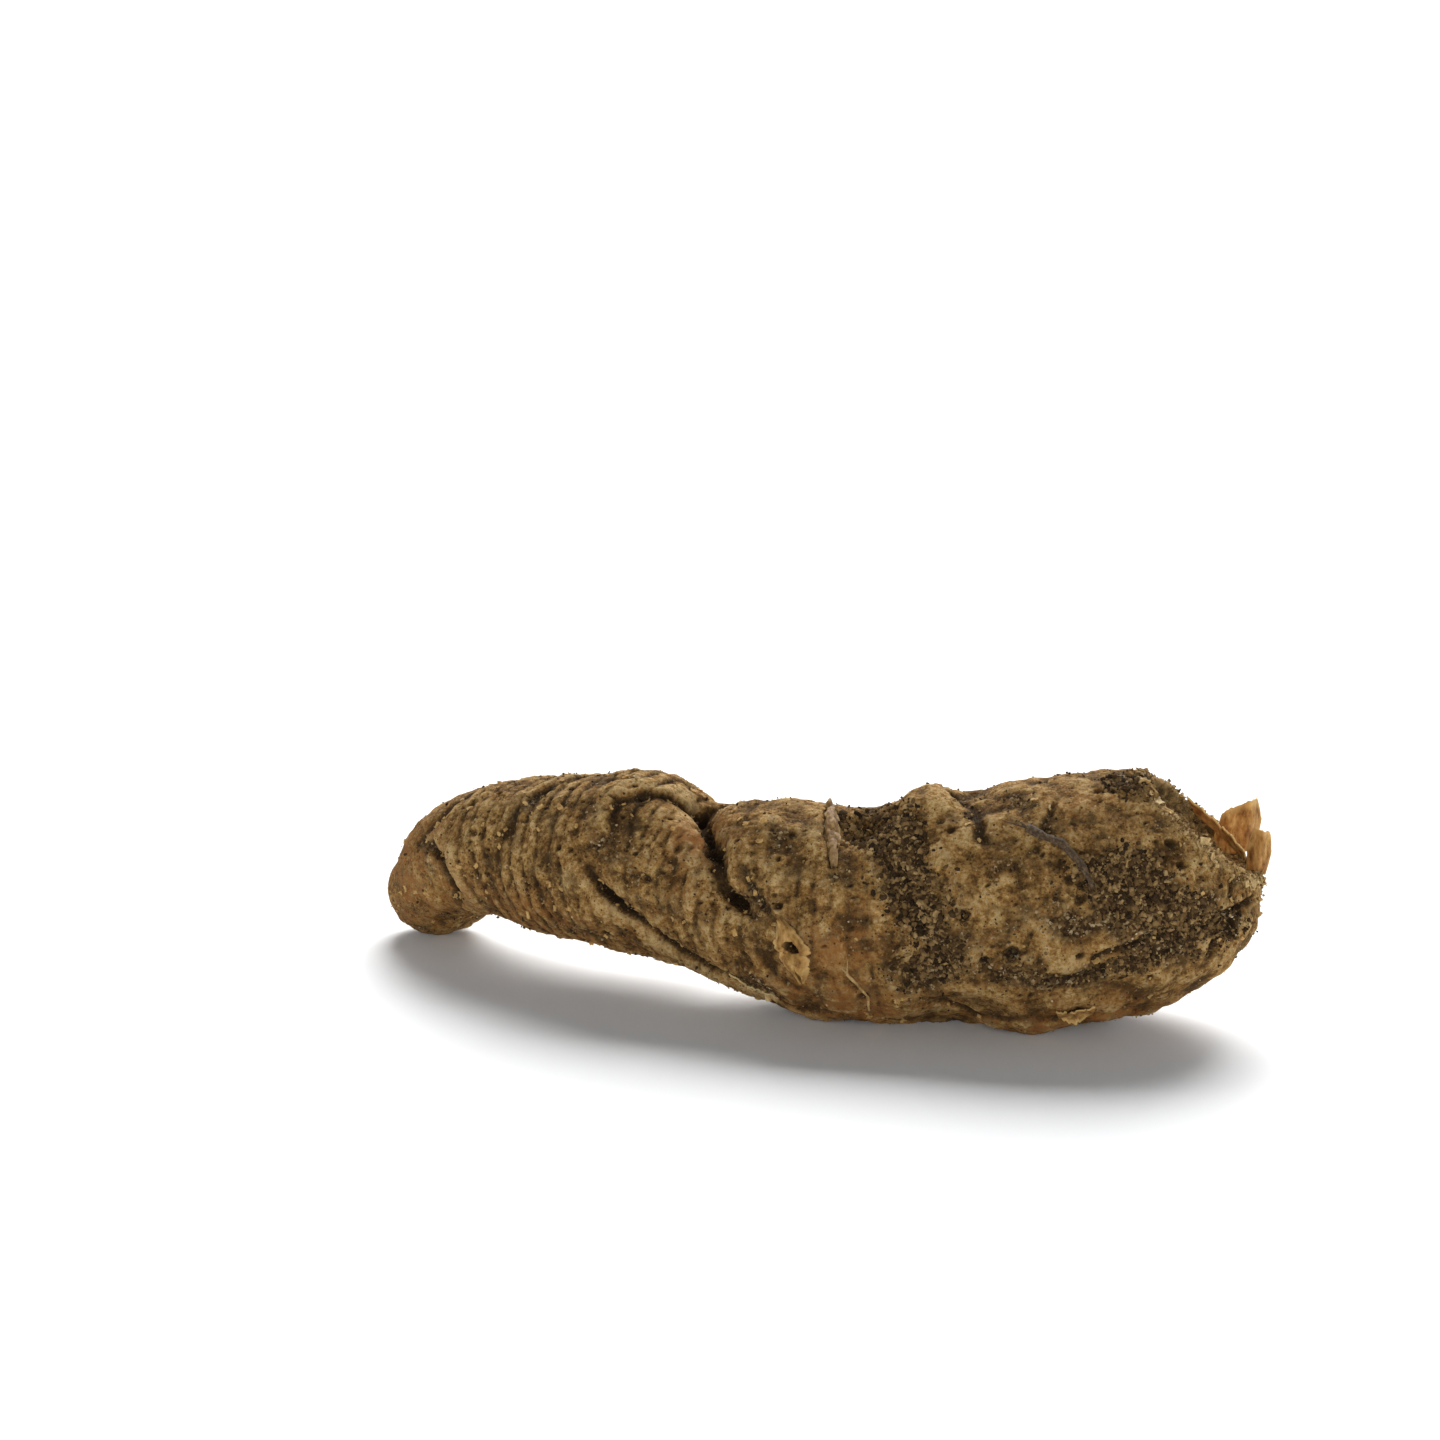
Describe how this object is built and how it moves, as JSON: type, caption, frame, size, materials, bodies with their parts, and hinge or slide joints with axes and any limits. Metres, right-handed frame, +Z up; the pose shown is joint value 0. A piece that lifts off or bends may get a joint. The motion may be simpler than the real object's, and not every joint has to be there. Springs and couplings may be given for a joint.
{
  "type": "paris rhizome",
  "caption": "Dried bent rhizome with annular nodes, a slanted stem scar, papery scale leaves, root remains and cakes of soil; lies on its side.",
  "frame": {"origin": "on the resting surface, under the middle of the object's box", "axes": "+Z up, +X along the rhizome from the old knob to the stem scar, -Y towards the bulging side of its bend"},
  "size_m": [0.1018, 0.0345, 0.0262],
  "materials": {
    "rhizome_bark": "matt wrinkled brown bark dusted with soil",
    "dry_scale": "thin papery orange-brown leaf, faint satin",
    "pale_scale": "thin papery straw-coloured leaf, matt",
    "dark_rootlet": "matt dark shrivelled root",
    "dry_soil": "matt crumbly dark soil with fine sand"
  },
  "bodies": {
    "root": {"rhizome_body": "rhizome_bark", "apex_scale_lobed": "dry_scale", "apex_scale_small": "dry_scale", "apex_scale_strip": "pale_scale", "shoulder_scale_remnant": "pale_scale", "root_sheath": "dry_scale", "underside_skin_flap": "dry_scale", "fold_skin_flap": "pale_scale", "rootlet_broken": "dark_rootlet", "rootlet_thread": "pale_scale", "soil_cake_valley": "dry_soil", "soil_cake_thick_end": "dry_soil", "soil_cake_crack": "dry_soil"}
  },
  "joints": []
}
